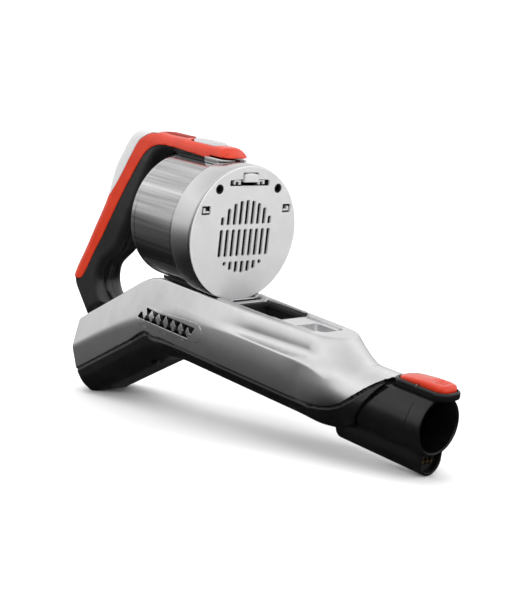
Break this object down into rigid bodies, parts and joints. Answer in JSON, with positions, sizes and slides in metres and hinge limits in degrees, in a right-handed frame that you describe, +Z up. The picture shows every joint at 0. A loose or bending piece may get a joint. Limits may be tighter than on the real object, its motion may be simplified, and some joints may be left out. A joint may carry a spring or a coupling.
{
  "type": "handheld vacuum",
  "caption": "Hand unit of a cordless stick vacuum without its bin: motor pod with a grille, loop handle, angled battery body and a nozzle tube with a release button.",
  "frame": {"origin": "bottom centre of the bounding box, on the floor that the vacuum stands on", "axes": "+X towards the nozzle mouth, +Y to the vacuum's left, +Z up; it stands on the keel's front end and the flat under the battery's rear edge, with the nozzle sloping 8.3 degrees down"},
  "size_m": [0.4588, 0.1136, 0.246],
  "materials": {
    "silver_shell": "silver metallic paint, satin",
    "pale_plastic": "light grey, satin",
    "grey_gloss": "grey, high gloss",
    "black_gloss": "black, high gloss",
    "black_plain": "black, fine texture",
    "red_gloss": "vermilion red, gloss",
    "dark_red": "dark red, satin",
    "rubber": "soft black rubber",
    "steel": "bright steel",
    "brass": "plated contact",
    "foam": "dark filter fleece",
    "cell": "shrink-wrapped battery cell",
    "board": "green circuit board"
  },
  "bodies": {
    "main": {"upper_shell": "silver_shell", "hook_pocket": "silver_shell", "release_trim": "silver_shell", "lower_shell": "black_gloss", "battery_cover": "black_gloss", "rear_deck": "black_gloss", "nozzle_tube": "black_gloss", "handle_core_left": "black_gloss", "handle_core_right": "black_gloss", "pod_saddle": "black_plain", "air_duct": "black_plain", "contact_block": "black_plain", "filter_frame": "black_plain", "fan_shroud": "black_plain", "power_switch": "black_plain", "cell_holder_front": "black_plain", "cell_holder_rear": "black_plain", "motor_housing": "grey_gloss", "pod_rear_cap": "grey_gloss", "front_ring": "pale_plastic", "face_plate": "pale_plastic", "spine_cover": "pale_plastic", "handle_trim": "red_gloss", "thumb_grip": "dark_red", "inlet_seal": "rubber", "motor_bracket": "rubber", "motor_can": "steel", "wand_release_pin": "steel", "filter_pad": "foam", "battery_board": "board", "motor_board": "board", "contact_pin_1": "brass", "contact_pin_2": "brass", "contact_pin_3": "brass", "battery_cell_1": "cell", "battery_cell_2": "cell", "battery_cell_3": "cell", "battery_cell_4": "cell", "battery_cell_5": "cell", "battery_cell_6": "cell", "cover_screw_1": "steel", "cover_screw_2": "steel", "cover_screw_3": "steel", "cover_screw_4": "steel", "face_screw_1": "steel", "face_screw_2": "steel"},
    "power_button": {"power_button": "silver_shell"},
    "bin_release_button": {"bin_release_button": "red_gloss"},
    "bin_latch": {"bin_latch_tongue": "pale_plastic"},
    "wand_release": {"wand_release_button": "red_gloss"},
    "motor_rotor": {"motor_shaft": "steel", "impeller": "black_plain"}
  },
  "joints": [
    {"name": "power_press", "type": "slide", "parent": "main", "child": "power_button", "axis": [-0.1444, 0, -0.9895], "range_m": [0, 0.0015], "stiffness_N_per_m": 800, "springref_m": -0.001},
    {"name": "bin_release_press", "type": "slide", "parent": "main", "child": "bin_release_button", "axis": [-0.1444, 0, -0.9895], "range_m": [0, 0.0012], "stiffness_N_per_m": 900, "springref_m": -0.001},
    {"name": "bin_latch_slide", "type": "slide", "parent": "main", "child": "bin_latch", "axis": [-0.1444, 0, -0.9895], "range_m": [0, 0.0024]},
    {"name": "wand_release_tilt", "type": "hinge", "parent": "main", "child": "wand_release", "pos_m": [0.2044, 0, 0.0662], "axis": [0, 1, 0], "range_deg": [0, 5], "stiffness_Nm_per_rad": 0.4, "springref_deg": -2.86},
    {"name": "motor_spin", "type": "hinge", "parent": "main", "child": "motor_rotor", "pos_m": [-0.05158, 0, 0.16801], "axis": [0.9895, 0, -0.1444], "continuous": true}
  ],
  "couplings": [
    {"joint": "bin_latch_slide", "follows": "bin_release_press", "ratio": 2}
  ]
}
